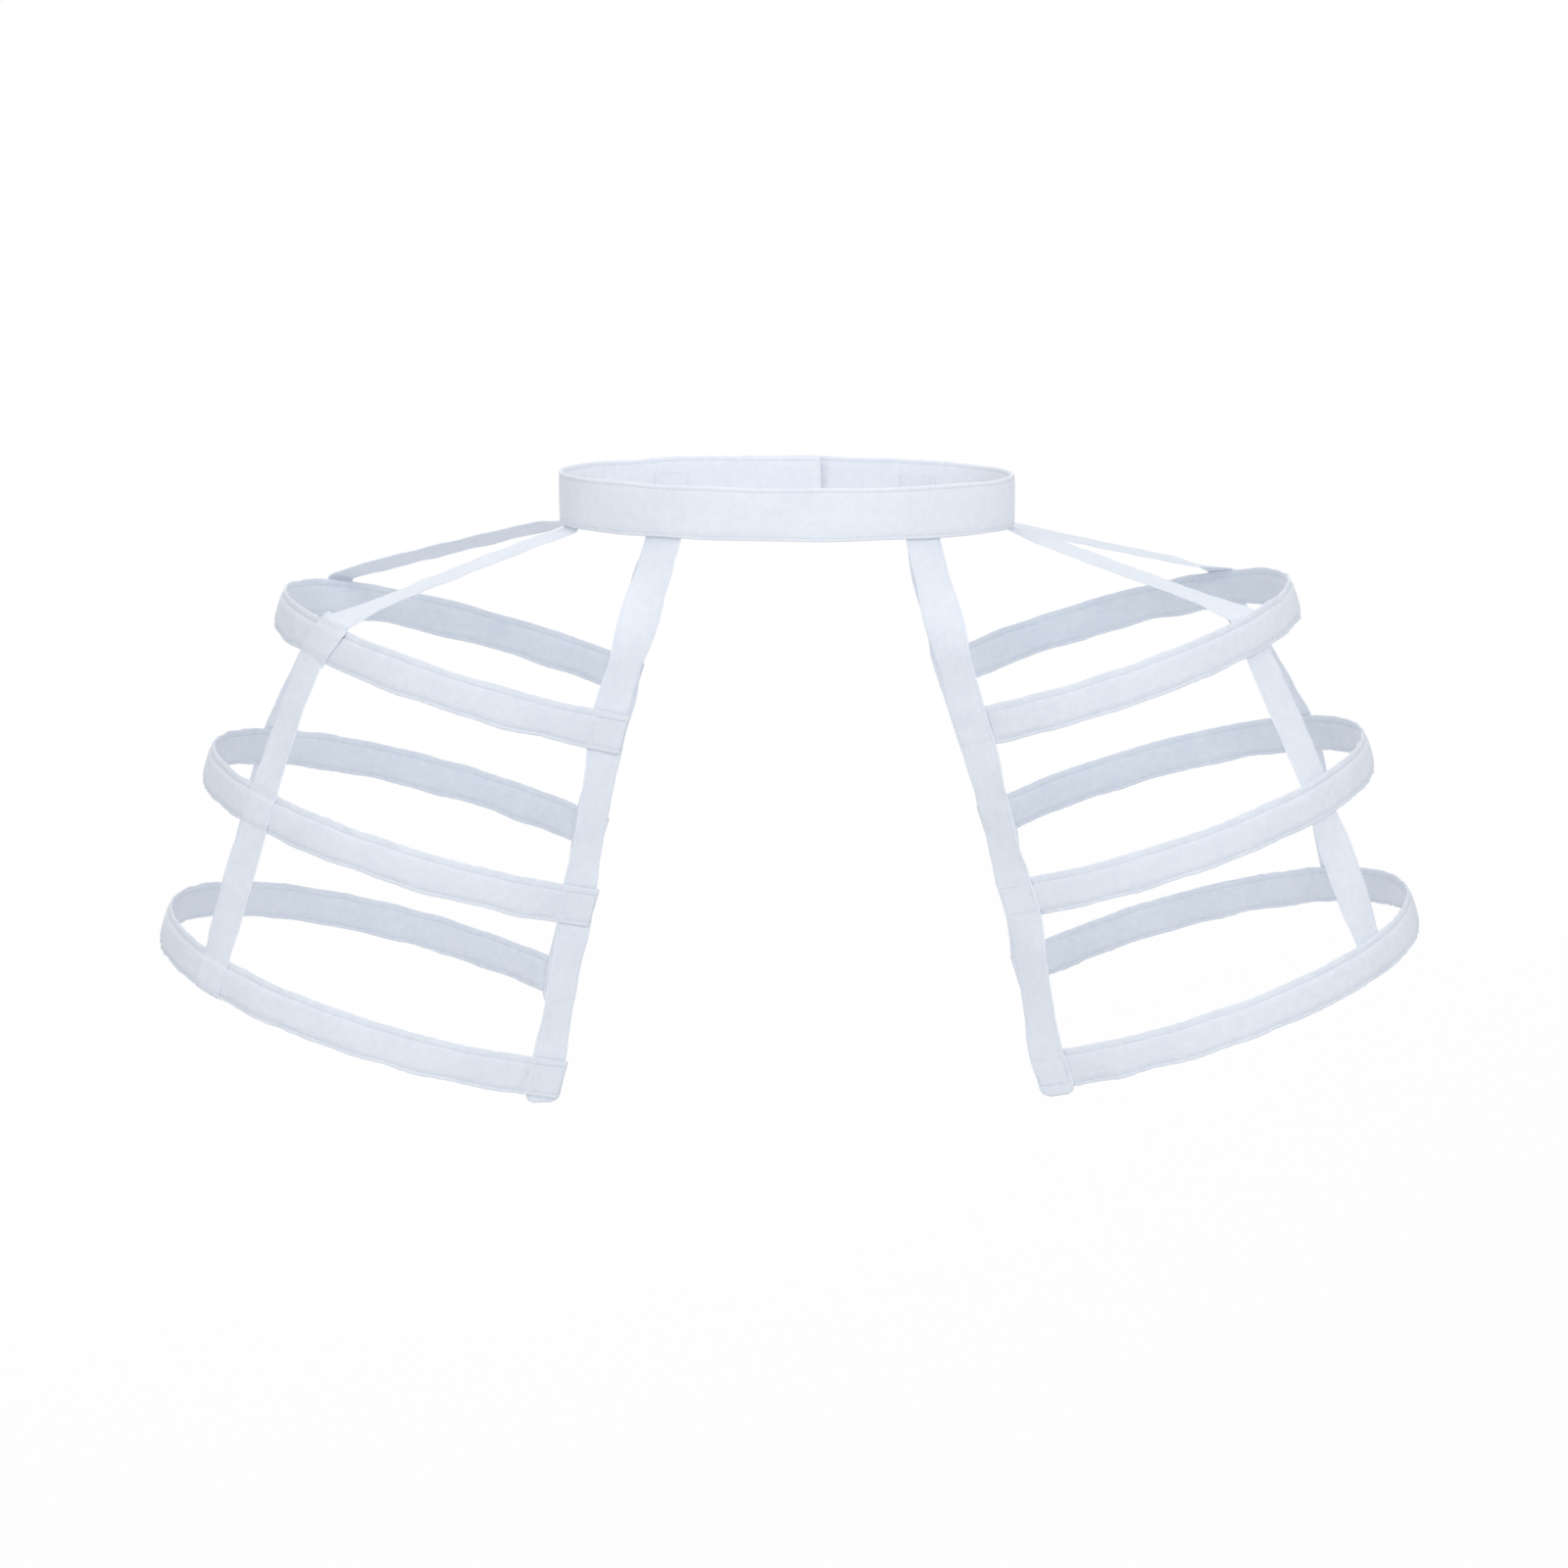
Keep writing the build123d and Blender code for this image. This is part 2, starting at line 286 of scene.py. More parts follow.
def threadMaterial(name):
    # two-ply sewing thread with its twist
    material, tree, shader = newMaterial(name)
    _, parts = weaveParts(tree)
    around = sums(tree, "MULTIPLY", parts[0], sewing["plies"])
    slant = sums(tree, "ADD", around, sums(tree, "MULTIPLY", parts[1], sewing["twist"]))
    twist = sums(tree, "SINE", slant)
    tone = sums(tree, "MULTIPLY_ADD", twist, sewing["twistTone"])  # the node adds its own half
    colour = between(tree, tone, sewing["light"], sewing["dark"])
    tree.links.new(colour, shader.inputs["Base Color"])
    bumped(tree, twist, sewing["bumpStrength"], sewing["bumpDepth"], shader)
    shader.inputs["Roughness"].default_value = sewing["roughness"]
    shader.inputs["Sheen Weight"].default_value = sewing["sheen"]
    return material


hardFinish = {
    "detail": 5.0,
    "roughShares": (0.7, 1.4),
    "wornShare": 0.86,
    "bumpStrength": 0.15,
    "bumpDepth": 0.05 * mm,
    # colour, roughness, metal and grain
    "coatedSteel": ((0.72, 0.74, 0.76), 0.35, 0.0, 400.0),
    "capPlastic": ((0.80, 0.81, 0.82), 0.3, 0.0, 250.0),
    "platedHook": ((0.62, 0.61, 0.58), 0.28, 1.0, 600.0),
}


def hardMaterial(name):
    # coated steel, moulded caps and plated hooks, with a fine uneven finish
    material, tree, shader = newMaterial(name)
    colour, roughness, metallic, grain = hardFinish[name]
    place = addNode(tree, "ShaderNodeTexCoord").outputs["Object"]
    fine = noise(tree, place, grain, hardFinish["detail"])
    rough = ranged(tree, fine, (0.0, 1.0), [roughness * share for share in hardFinish["roughShares"]])
    tree.links.new(rough, shader.inputs["Roughness"])
    worn = [channel * hardFinish["wornShare"] for channel in colour]
    tree.links.new(between(tree, fine, colour, worn), shader.inputs["Base Color"])
    bumped(tree, fine, hardFinish["bumpStrength"], hardFinish["bumpDepth"], shader)
    shader.inputs["Metallic"].default_value = metallic
    return material


bandCotton = cottonMaterial("bandCotton", *cotton["band"])
casingCotton = cottonMaterial("casingCotton", *cotton["casing"])
tapeCotton = cottonMaterial("tapeCotton", *cotton["tape"], twill=True)
sewingThread = threadMaterial("sewingThread")
coatedSteel = hardMaterial("coatedSteel")
capPlastic = hardMaterial("capPlastic")
platedHook = hardMaterial("platedHook")
print("materials made")


# Stitches: each is a short thread that dips into the cloth at both ends

stitch = {
    "pitch": 3.0 * mm,
    "crossPitch": 2.8 * mm,
    "margin": 3.0 * mm,
    "length": 2.3 * mm,
    "radius": 0.2 * mm,
    "liftShare": 0.55,
    "dip": 0.16 * mm,
    "sides": 6,
    # place along the stitch and share of its radius
    "rings": ((-1.0, 0.55), (-0.55, 1.0), (0.55, 1.0), (1.0, 0.55)),
}


def stitchRow(line, outward, margin=0.0, pitch=stitch["pitch"]):
    # starts, ends and facing of the stitches along a line, clear of its ends
    walked = runLength(line)
    count = max(1, int((walked[-1] - 2 * margin) / pitch))
    starts = margin + pitch * np.arange(count)
    ends = starts + stitch["length"]
    facing = unit(atPlaces((starts + ends) / 2, walked, outward))
    return atPlaces(starts, walked, line), atPlaces(ends, walked, line), facing


def seamRows(rings, seams, outward):
    # a row of stitches along each seam, on the outer face and on the inner one
    rows = []
    for seam in seams:
        rows.append(stitchRow(rings[:, seam], outward, stitch["margin"]))
        rows.append(stitchRow(rings[:, -1 - seam], -outward, stitch["margin"]))
    return rows


def stitchPiece(name, rows, mirrored):
    starts, ends, outward = [np.concatenate(part) for part in zip(*rows)]
    along = (ends - starts) / 2
    middle = (ends + starts) / 2
    side = unit(np.cross(along, outward))
    turn = np.arange(stitch["sides"]) * 2 * math.pi / stitch["sides"]
    spoke = np.cos(turn)[None, :, None] * side[:, None] + np.sin(turn)[None, :, None] * outward[:, None]
    rings = []
    for place, share in stitch["rings"]:
        lift = stitch["radius"] * stitch["liftShare"] - stitch["dip"] * place * place
        core = middle + along * place + outward * lift
        rings.append(core[:, None] + spoke * stitch["radius"] * share)
    points = np.stack(rings, 1)
    each = len(rings) * stitch["sides"]
    single = stripFaces(len(rings), stitch["sides"])
    faces = (single[None] + np.arange(len(middle))[:, None, None] * each).reshape(-1, 4)
    places = np.array([place for place, _ in stitch["rings"]])
    cloth = np.zeros_like(points)
    cloth[..., 0] = turn
    cloth[..., 1] = places[None, :, None] * stitch["length"] / 2
    points, cloth = points.reshape(-1, 3), cloth.reshape(-1, 3)
    return meshPiece(name, points, faces, cloth, sewingThread, mirrored)


# Hoops: circles that rise outwards from the straps, drawn on the left

hoop = {
    "tilt": math.radians(17.3),
    "strapMiddle": 13.5 * mm,
    "upper": {"endOffset": 108.3 * mm, "endDrop": 127.4 * mm, "span": 230.0 * mm, "reach": 216.5 * mm},
    "middle": {"endOffset": 132.8 * mm, "endDrop": 231.2 * mm, "span": 242.0 * mm, "reach": 240.5 * mm},
    "lower": {"endOffset": 152.5 * mm, "endDrop": 335.7 * mm, "span": 257.0 * mm, "reach": 251.5 * mm},
    # how far past its mark each strap is sewn, on the upper, middle and lower hoop
    "strapShift": {
        "front": {"left": (0.0, -3.3 * mm, -3.0 * mm), "right": (-3.0 * mm, 2.5 * mm, 1.5 * mm)},
        "back": {"left": (-1.0 * mm, -8.5 * mm, -12.5 * mm), "right": (4.0 * mm, 4.0 * mm, 2.0 * mm)},
    },
    # where the side tapes cross each hoop, in degrees from its tip
    "crossing": {
        "front": {"left": (44.2, 46.2, 42.1), "right": (42.4, 44.8, 42.9)},
        "back": {"left": (38.6, 34.4, 36.8), "right": (37.0, 37.0, 37.0)},
    },
    # how far the side tapes and the straps slant across a hoop, for each unit of its height
    "crossingSlant": {
        "front": {"left": (0.13, 0.0, 0.0), "right": (0.54, 0.0, 0.0)},
        "back": {"left": (0.0, 0.0, 0.0), "right": (0.0, 0.0, 0.0)},
    },
    "strapSlant": {"left": 0.0, "right": 0.15},
    # the side tapes and the straps lie outside the hoops (1) or inside them (-1)
    "crossingLayer": {"front": {"left": -1, "right": 1}, "back": {"left": 1, "right": 1}},
    "strapLayer": {"front": {"left": 1, "right": -1}, "back": {"left": -1, "right": -1}},
}
levels = ("upper", "middle", "lower")
hoopEnds = {"front": -1, "back": 1}  # which way round the circle each end lies from its tip


def hoopCircle(level):
    size = hoop[level]
    outward = np.array([math.cos(hoop["tilt"]), 0, math.sin(hoop["tilt"])])
    radius = (size["reach"] ** 2 + (size["span"] / 2) ** 2) / (2 * size["reach"])
    centre = np.array([size["endOffset"], 0, -size["endDrop"]]) + outward * (size["reach"] - radius)
    strapAngle = math.acos((radius - size["reach"]) / radius)
    return {
        "radius": radius,
        "centre": centre,
        "outward": outward,
        "rear": np.array([0, 1, 0]),
        "upward": np.array([-math.sin(hoop["tilt"]), 0, math.cos(hoop["tilt"])]),
        "halfArc": strapAngle - hoop["strapMiddle"] / radius,
    }


circles = {level: hoopCircle(level) for level in levels}


def hoopPoint(circle, angle, outset, along, height):
    # outset from the circle, and along its tangent at an angle
    angle, outset, along, height = np.broadcast_arrays(angle, outset, along, height)
    reach = circle["radius"] + outset
    out = reach * np.cos(angle) - along * np.sin(angle)
    back = reach * np.sin(angle) + along * np.cos(angle)
    plane = out[..., None] * circle["outward"] + back[..., None] * circle["rear"]
    return circle["centre"] + plane + height[..., None] * circle["upward"]


def hoopOutward(circle, angle):
    angle = np.asarray(angle)[..., None]
    return np.cos(angle) * circle["outward"] + np.sin(angle) * circle["rear"]


def hoopTangent(circle, angle):
    return -math.sin(angle) * circle["outward"] + math.cos(angle) * circle["rear"]


# Casings: a folded strip with a sewn flange above and below the bone, and a flat tab at each end

casing = {
    "clothWidth": 50.0 * mm,
    "tab": 24.5 * mm,
    "step": 1.6 * mm,
    "flange": 0.8 * mm,
    "seed": {"left": 100, "right": 107},
    "seedStep": 20,
    # the stretch past the bone's end over which the casing falls flat
    "boneEnd": (-4.2 * mm, 2.2 * mm),
    # bottom, top and half thickness of the bone's channel
    "channel": (-7.4 * mm, 5.9 * mm, 1.22 * mm),
    "channelCorner": 0.8 * mm,
    "channelRound": 0.6,
    "channelStations": 160,
    "endWall": 3.0 * mm,
    # wave length and height of the ripples
    "topWave": (52.0 * mm, 0.32 * mm),
    "topPucker": (9.0 * mm, 0.09 * mm),
    "bottomWave": (44.0 * mm, 0.5 * mm),
    "bottomPucker": (8.0 * mm, 0.09 * mm),
    "topFlutter": (15.0 * mm, 0.3 * mm),
    "bottomFlutter": (11.0 * mm, 0.3 * mm),
    "swell": (26.0 * mm, 0.05),
    # the heights between which they grow
    "topHalf": (2.0 * mm, 12.0 * mm),
    "bottomHalf": (-2.0 * mm, -12.0 * mm),
    "topFlange": (7.9 * mm, 12.0 * mm),
    "bottomFlange": (-9.4 * mm, -12.0 * mm),
    # share of them left on the tabs, and lost where a tape is sewn on
    "tabRipple": 0.35,
    "sewnCalm": 0.9,
    "sewnReach": 15.0 * mm,
    # how far a tape sewn on the inside pushes the face out, and the half width that it does so over
    "ridge": 0.4 * mm,
    "ridgeReach": (11.4 * mm, 12.6 * mm),
    # the seams' points on the outline below, and the painted shade in their stitch gutters
    "seams": (12, 4),
    "gutterShadeHalf": 0.58 * mm,
    "gutterShadeSpread": 0.1 * mm,
    "gutterShadeLimit": 11.5 * mm,
    # painted shade on the inner face, in units of the seams' painted shade, standing in for the shadow a
    # wearer's body casts on the hoops' insides
    "paintedInnerShade": 1.0,
    # height and half thickness, from the bottom edge to the top edge
    "outline": np.array([
        (-12.0, 0.30), (-11.7, 0.72), (-10.8, 0.90), (-10.0, 0.78), (-9.6, 0.58), (-9.1, 1.05),
        (-8.0, 1.86), (-5.2, 2.05), (-0.8, 2.12), (3.8, 2.05), (6.5, 1.86), (7.5, 1.05),
        (8.0, 0.58), (8.4, 0.78), (9.5, 0.92), (11.2, 0.82), (11.75, 0.62), (12.0, 0.26),
    ]) * mm,
}


def casingRings(circle, seed, frontTab, backTab, crossings, ridged):
    arc = circle["halfArc"] * circle["radius"]
    length = 2 * arc + frontTab + backTab
    along = np.linspace(-arc - frontTab, arc + backTab, round(length / casing["step"]))
    angle = np.clip(along, -arc, arc) / circle["radius"]
    past = along - np.clip(along, -arc, arc)
    height, half = casing["outline"].T
    full, flat = casing["boneEnd"]
    boned = 1 - eased(arc + full, arc + flat, np.abs(along))
    edge = np.minimum(half, casing["flange"])
    thick = edge[None] + boned[:, None] * (half - edge)[None]
    calm = casing["tabRipple"] + (1 - casing["tabRipple"]) * boned
    for crossing in crossings:
        beside = (along - crossing * circle["radius"]) / casing["sewnReach"]
        calm = calm * (1 - casing["sewnCalm"] * np.exp(-beside ** 4))

    def waved(number, wave, grown):
        return ripple(along, seed + number, *casing[wave])[:, None] * eased(*casing[grown], height)[None]

    top = waved(0, "topWave", "topHalf") + waved(1, "topPucker", "topHalf")
    bottom = waved(2, "bottomWave", "bottomHalf") + waved(3, "bottomPucker", "bottomHalf")
    heights = height[None] + calm[:, None] * (top + bottom)
    flutter = waved(4, "topFlutter", "topFlange") + waved(5, "bottomFlutter", "bottomFlange")
    sway = flutter * calm[:, None]
    swell = 1 + boned[:, None] * ripple(along, seed + 6, *casing["swell"])[:, None]
    ridge = np.zeros_like(thick)
    for crossing, slant in ridged:
        inner, outer = casing["ridgeReach"]
        beside = np.abs(along[:, None] - crossing * circle["radius"] + slant * height[None])
        ridge += casing["ridge"] * eased(outer, inner, beside)
    front = hoopPoint(circle, angle[:, None], sway + thick * swell + ridge, past[:, None], heights)
    back = hoopPoint(circle, angle[:, None], sway - thick, past[:, None], heights)
    rings = np.concatenate([front, back[:, ::-1]], 1)
    # painted shade in the stitch gutters, where the cloth is thinnest, along the boned stretch only
    seam = np.exp(-((half - casing["gutterShadeHalf"]) / casing["gutterShadeSpread"]) ** 2)
    seam = seam * (np.abs(height) < casing["gutterShadeLimit"])
    weave = np.stack(np.broadcast_arrays(height[None], along[:, None], seam[None] * boned[:, None]), -1)
    # the inner face gets painted shade on top of the gutters' painted shade
    weave = np.concatenate([weave, weave[:, ::-1] + (0, 0, casing["paintedInnerShade"])], 1)
    return rings, weave, hoopOutward(circle, angle), length


def casingHollow(circle):
    arc = circle["halfArc"] * circle["radius"] - casing["endWall"]
    angle = np.linspace(-arc, arc, casing["channelStations"])[:, None] / circle["radius"]
    low, high, half = casing["channel"]
    corner = casing["channelCorner"]
    rounded = half * casing["channelRound"]
    height = np.array([low, low + corner, high - corner, high])
    outset = np.array([rounded, half, half, rounded])
    front = hoopPoint(circle, angle, outset[None], 0.0, height[None])
    back = hoopPoint(circle, angle, -outset[None], 0.0, height[None])
    return np.concatenate([front, back[:, ::-1]], 1)


def makeCasing(level, side):
    circle = circles[level]
    number = levels.index(level)
    seed = casing["seed"][side] + casing["seedStep"] * number
    tabs = [casing["tab"] + hoop["strapShift"][end][side][number] for end in hoopEnds]
    crossings = [turn * math.radians(hoop["crossing"][end][side][number]) for end, turn in hoopEnds.items()]
    inside = hoop["crossingLayer"]["front"][side] < 0
    ridged = [(crossings[0], hoop["crossingSlant"]["front"][side][number])] if inside else []
    rings, weave, outward, length = casingRings(circle, seed, *tabs, crossings, ridged)
    mirrored = side == "right"
    name = f"{level}_casing_{side}"
    hollow = casingHollow(circle)
    piece = clothPiece(f"{name}_cloth", rings, weave, casingCotton, mirrored, hollow)
    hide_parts(name)
    rows = seamRows(rings, casing["seams"], outward)
    thread = stitchPiece(f"{name}_stitches", rows, mirrored)


for level in levels:
    for side in ("left", "right"):
        makeCasing(level, side)
print("casings made")


# Waistband: a folded band round an oval of four arcs, lapped at the middle of the back

band = {
    "clothWidth": 70.0 * mm,
    "halfWidth": 140.0 * mm,
    "halfDepth": 98.0 * mm,
    "sideRadius": 72.0 * mm,
    "height": 32.0 * mm,
    "thickness": 3.0 * mm,
    "overLap": 26.0 * mm,
    "underLap": 24.0 * mm,
    "stepGap": 1.0 * mm,
    "stepRun": 14.0 * mm,
    "lapInset": 6.23 * mm,
    "step": 1.6 * mm,
    "softening": 2,
    # how far it rolls towards the left hip, and how far below its middle the tapes follow that
    "roll": math.radians(1.0),
    "settleStart": 17.0 * mm,
    "settleReach": 105.0 * mm,
    "seed": 31,
    # wave length and height of the ripples
    "wave": (70.0 * mm, 0.3 * mm),
    "pucker": (8.0 * mm, 0.1 * mm),
    "swell": (40.0 * mm, 0.03),
    "puckerReach": (9.0 * mm, 14.0 * mm),
    # the seams' points on the outline below, and the painted shade in their stitch gutters
    "seams": (3, 10),
    "gutterShadeHalf": 1.02 * mm,
    "gutterShadeSpread": 0.12 * mm,
    "gutterShadeLimit": 14.2 * mm,
    # half height and half thickness of the space inside the fold, and how many stations it stops short
    "hollow": (14.0 * mm, 0.3 * mm),
    "hollowShort": 3,
    # height and half thickness, from the bottom edge to the top edge
    "outline": np.array([
        (-16.0, 0.45), (-15.6, 1.05), (-14.6, 1.35), (-13.6, 1.02), (-12.8, 1.36), (-9.0, 1.52), (-3.0, 1.56),
        (3.0, 1.56), (9.0, 1.52), (12.8, 1.36), (13.6, 1.02), (14.6, 1.35), (15.6, 1.05), (16.0, 0.45),
    ]) * mm,
}
band["sideCentre"] = band["halfWidth"] - band["sideRadius"]
depthExcess = band["halfDepth"] - band["sideRadius"]
band["arcRadius"] = band["sideRadius"] + (band["sideCentre"] ** 2 / depthExcess + depthExcess) / 2
band["arcCentre"] = band["arcRadius"] - band["halfDepth"]
band["sideArc"] = math.atan2(band["arcCentre"], band["sideCentre"])


def waistArc(facing):
    if abs(facing) <= band["sideArc"]:
        return np.array([band["sideCentre"], 0, 0]), band["sideRadius"]
    return np.array([0, -band["arcCentre"] if facing > 0 else band["arcCentre"], 0]), band["arcRadius"]


def waistPoint(facing, inset, height):
    # a point set in from the band's middle line where it faces a direction, and the band's run there
    centre, radius = waistArc(facing)
    outward = np.array([math.cos(facing), math.sin(facing), 0])
    across = np.array([-math.sin(facing), math.cos(facing), 0])
    return centre + outward * (radius - inset) + np.array([0, 0, height]), across


def settled(points, mirrored=False, reach=band["settleReach"]):
    # the band hangs a little lower on the left hip, and the tapes below it follow
    held = eased(-reach, -band["settleStart"], points[..., 2])
    lean = math.tan(band["roll"]) * (1 if mirrored else -1)
    moved = points.copy()
    moved[..., 2] += lean * points[..., 0] * held
    return moved


def ovalArc(centre, radius, start, end):
    angle = np.linspace(start, end, max(6, round(abs(end - start) * radius / band["step"])))
    flat = np.stack([np.cos(angle), np.sin(angle), np.zeros_like(angle)], 1) * radius
    return flat + np.array([*centre, 0.0])


def bandLine():
    # from the under end of the lap once round the waist to the end that lies over it
    side, big, small = band["sideArc"], band["arcRadius"], band["sideRadius"]
    under = big - band["lapInset"]
    stepEnd = -band["overLap"] - band["stepGap"]
    stepStart = stepEnd - band["stepRun"]
    back = (0.0, -band["arcCentre"])
    runs = [
        ovalArc(back, under, math.acos(band["underLap"] / under), math.acos(stepEnd / under)),
        ovalArc(back, big, math.acos(stepStart / big), math.pi - side),
        ovalArc((-band["sideCentre"], 0.0), small, math.pi - side, math.pi + side),
        ovalArc((0.0, band["arcCentre"]), big, math.pi + side, 2 * math.pi - side),
        ovalArc((band["sideCentre"], 0.0), small, -side, side),
        ovalArc(back, big, side, math.acos(-band["overLap"] / big)),
    ]
    return softened(evenly(np.concatenate(runs), band["step"]), band["softening"])


def makeWaistband():
    line = bandLine()
    along = runLength(line)
    run = unit(np.gradient(line, axis=0))
    outward = np.cross(run, (0, 0, 1))
    height, half = band["outline"].T
    seed = band["seed"]
    wave = ripple(along, seed, *band["wave"])[:, None] * (height / height.max())[None]
    pucker = ripple(along, seed + 1, *band["pucker"])[:, None]
    pucker = pucker * eased(*band["puckerReach"], np.abs(height))[None]
    swell = half[None] * (1 + ripple(along, seed + 2, *band["swell"])[:, None])

    def face(outset):
        upright = np.zeros((*outset.shape, 3))
        upright[..., 2] = height[None] + wave
        return line[:, None] + outward[:, None] * outset[..., None] + upright

    rings = settled(np.concatenate([face(pucker + swell), face(pucker - swell)[:, ::-1]], 1))
    # painted shade in the stitch gutters, where the cloth is thinnest
    seam = np.exp(-((half - band["gutterShadeHalf"]) / band["gutterShadeSpread"]) ** 2)
    seam = seam * (np.abs(height) < band["gutterShadeLimit"])
    weave = np.stack(np.broadcast_arrays(height[None], along[:, None], seam[None]), -1)
    weave = np.concatenate([weave, weave[:, ::-1]], 1)
    reach, thin = band["hollow"]
    gap = np.array([(thin, -reach), (thin, reach), (-thin, reach), (-thin, -reach)])
    inner = slice(band["hollowShort"], -band["hollowShort"])
    upright = np.array([0, 0, 1.0]) * gap[None, :, 1:]
    hollow = settled(line[inner, None] + outward[inner, None] * gap[None, :, :1] + upright)
    piece = clothPiece("waistband_cloth", rings, weave, bandCotton, False, hollow)
    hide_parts("waistband")
    rows = seamRows(rings, band["seams"], outward)
    thread = stitchPiece("waistband_stitches", rows, False)


makeWaistband()
print("waistband made")


# Tapes and straps: woven tape that comes out from inside the band and is sewn to each hoop

tape = {
    "halfWidth": 12.0 * mm,
    "half": 0.4 * mm,
    "step": 1.3 * mm,
    "points": 25,
    "softening": (2, 4, 3),
    "seed": {"left": 400, "right": 450},
    # wave length and height of the ripples
    "sway": (90.0 * mm, 0.4 * mm),
    "flutter": (24.0 * mm, 0.22 * mm),
    "cup": (60.0 * mm, 0.2 * mm),
    "gather": (3.6 * mm, 0.1 * mm),
    "swayShare": 0.5,
    # they start past the band and end before the tape does
    "freeFrom": (26.0 * mm, 40.0 * mm),
    "freeTo": 14.0 * mm,
    # share of the half width and half thickness, from the middle to the selvedge
    "outline": ((0.0, 0.40 * mm), (0.86, 0.38 * mm), (0.93, 0.45 * mm), (0.98, 0.36 * mm), (1.0, 0.1 * mm)),
    # place, spread and tone of the selvedge
    "selvedge": (0.87, 0.04, 0.6),
    "cornerRadius": 6.0 * mm,
    # how far it is sewn up inside the band, its gap to it, and two places below the band's edge
    "tuck": 22.0 * mm,
    "clear": 0.12 * mm,
    "below": (0.2 * mm, 1.4 * mm),
    # how far a tape rolls about its length between the hoops, and over which shares of that run
    "rollShares": (0.25, 0.75),
    "rowInset": 2.0 * mm,
    "rowPoints": 15,
}


def waistStations(facing):
    # each station is a point, the direction of the tape's width and its bend across that width
    radius = waistArc(facing)[1]
    inset = band["thickness"] / 2 + tape["clear"] + tape["half"]
    bottom = -band["height"] / 2
    heights = (bottom + tape["tuck"], *[bottom - drop for drop in tape["below"]])
    return [(*waistPoint(facing, inset, height), 1 / (radius - inset)) for height in heights]


def leaned(across, run, lean):
    # turn the tape's width about the way that it runs
    return across * math.cos(lean) + np.cross(run, across) * math.sin(lean)


def rolledRun(stations, end, across, leans):
    # two more stations on the way to a point, where the tape has rolled about its length
    begin, width, _ = stations[-1]
    run = end - begin
    for share, side, lean in zip(tape["rollShares"], (width, across), leans):
        stations.append((begin + run * share, leaned(side, unit(run), lean), 0.0))


def facedRow(circle, angle, line, facing):
    outward = np.broadcast_to(hoopOutward(circle, angle) * facing, line.shape)
    return stitchRow(line, outward, pitch=stitch["crossPitch"])


sideTape = {
    "seedShift": {"front": 30, "back": 40},
    # where each leaves the band, in degrees from the hip
    "facing": {"front": {"left": -3.0, "right": 20.0}, "back": {"left": 28.0, "right": 22.0}},
    # how far below the waist's middle it follows the band
    "settleReach": {"left": 63.0 * mm, "right": 105.0 * mm},
    # how far it leans on its first run and over which shares of that run, and how far it rolls on the others
    "leanShares": (0.12, 0.84),
    "lean": {"front": {"left": 13.0, "right": 2.0}, "back": {"left": 11.0, "right": -18.0}},
    "roll": {
        "front": {"left": (3.0, 15.0), "right": (-6.0, 6.0)},
        "back": {"left": (0.0, 0.0), "right": (0.0, 0.0)},
    },
    # height and outset on a hoop: coming on, on the flanges and over the bone, and going off
    "comeOverTop": [(13.3 * mm, -0.3 * mm), (12.3 * mm, 1.5 * mm)],
    "come": [(12.8 * mm, 1.6 * mm)],
    "flangeHeights": (9.3 * mm, -10.3 * mm),
    "boneHeights": (5.6 * mm, -7.2 * mm),
    "onFlange": 1.38 * mm,
    "onBone": 2.62 * mm,
    "leave": [(-13.0 * mm, 1.6 * mm)],
    "finish": [(-12.0 * mm, 1.36 * mm)],
    # the heights and the outset over which it is laid on a casing, and how far its edges are sewn down
    "drapeTop": (12.6 * mm, 11.4 * mm),
    "drapeBottom": (-13.4 * mm, -12.4 * mm),
    "drapeReach": (7.0 * mm, 4.0 * mm),
    "press": 0.32 * mm,
    # outsets of the stitches on the outer and the inner face, for a tape outside or inside the hoops
    "rowOutsets": {1: (1.8 * mm, 0.9 * mm), -1: (1.3 * mm, 1.8 * mm)},
}


def crossingPath(level, layer):
    top, bottom = sideTape["flangeHeights"]
    boneTop, boneBottom = sideTape["boneHeights"]
    flange, bone = sideTape["onFlange"], sideTape["onBone"]
    come = sideTape["comeOverTop" if level == "upper" and layer > 0 else "come"]
    leave = sideTape["finish" if level == "lower" else "leave"]
    return come + [(top, flange), (boneTop, bone), (boneBottom, bone), (bottom, flange)] + leave


def sideTapeStations(facing, angles, slants, lean, rolls, layer):
    stations = waistStations(facing)
    for level, angle, slant, roll in zip(levels, angles, slants, (0.0, *rolls)):
        circle = circles[level]
        across = hoopTangent(circle, angle)
        crossing = []
        for height, out in crossingPath(level, layer):
            point = hoopPoint(circle, angle, layer * out, -slant * height, height)
            crossing.append((point, across, 1 / circle["radius"]))
        if level == "upper":
            point, width, _ = stations[-1]
            run = crossing[0][0] - point
            for share in sideTape["leanShares"]:
                stations.append((point + run * share, leaned(width, unit(run), lean), 0.0))
        else:
            rolledRun(stations, crossing[0][0], across, (roll, roll))
        stations += crossing
    return stations


